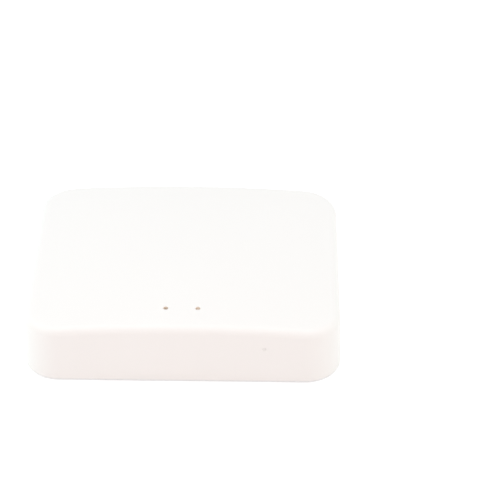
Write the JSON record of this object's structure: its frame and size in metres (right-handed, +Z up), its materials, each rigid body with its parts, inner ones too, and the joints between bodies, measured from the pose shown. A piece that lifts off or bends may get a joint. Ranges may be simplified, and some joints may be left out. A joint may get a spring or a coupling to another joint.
{
  "type": "smart home gateway",
  "caption": "Low white rounded box with a crowned roof that links home sensors: status lamps on top, a reset button in front and a power inlet at the back.",
  "frame": {"origin": "on the table, under the middle of the footprint, at the level of the feet", "axes": "+Z up, -Y is the front with the reset button, +X is to the right seen from the front"},
  "size_m": [0.09, 0.07, 0.02],
  "materials": {
    "white_case": "satin",
    "white_base": "fine texture",
    "white_button": "satin",
    "foot_rubber": "matte",
    "screw_steel": "zinc plated",
    "circuit_board": "solder mask",
    "module_board": "solder mask",
    "drawn_steel": "tin plated",
    "inlet_steel": "nickel plated",
    "black_moulding": "matte",
    "pale_moulding": "matte",
    "chip_moulding": "matte",
    "ferrite": "matte",
    "ceramic": "matte",
    "can_aluminium": "drawn",
    "lamp_body": "clear lens",
    "clear_pipe": "smoky clear"
  },
  "bodies": {
    "case": {"base_cover": "white_base", "board_screw_back_left": "screw_steel", "board_screw_back_right": "screw_steel", "board_screw_front_left": "screw_steel", "board_screw_front_right": "screw_steel", "capacitor_base_left": "black_moulding", "capacitor_base_right": "black_moulding", "capacitor_can_left": "can_aluminium", "capacitor_can_right": "can_aluminium", "case_screw_back_left": "screw_steel", "case_screw_back_right": "screw_steel", "case_screw_front_left": "screw_steel", "case_screw_front_right": "screw_steel", "chip_parts": "ceramic", "clock_crystal": "drawn_steel", "foot_back_left": "foot_rubber", "foot_back_right": "foot_rubber", "foot_front_left": "foot_rubber", "foot_front_right": "foot_rubber", "inlet_shell": "inlet_steel", "inlet_tongue": "black_moulding", "lamp_left": "lamp_body", "lamp_right": "lamp_body", "light_pipe_left": "clear_pipe", "light_pipe_right": "clear_pipe", "main_board": "circuit_board", "main_chip": "chip_moulding", "memory_chip": "chip_moulding", "network_board": "module_board", "network_shield": "drawn_steel", "power_choke": "ferrite", "power_regulator": "chip_moulding", "radio_board": "module_board", "radio_shield": "drawn_steel", "switch_body": "black_moulding", "switch_cover": "drawn_steel", "switch_dome": "drawn_steel", "top_cover": "white_case"},
    "reset_key": {"reset_button": "white_button", "switch_plunger": "pale_moulding"}
  },
  "joints": [
    {"name": "reset_press", "type": "slide", "parent": "case", "child": "reset_key", "axis": [0, 1, 0], "range_m": [0, 0.00025], "stiffness_N_per_m": 6400}
  ]
}
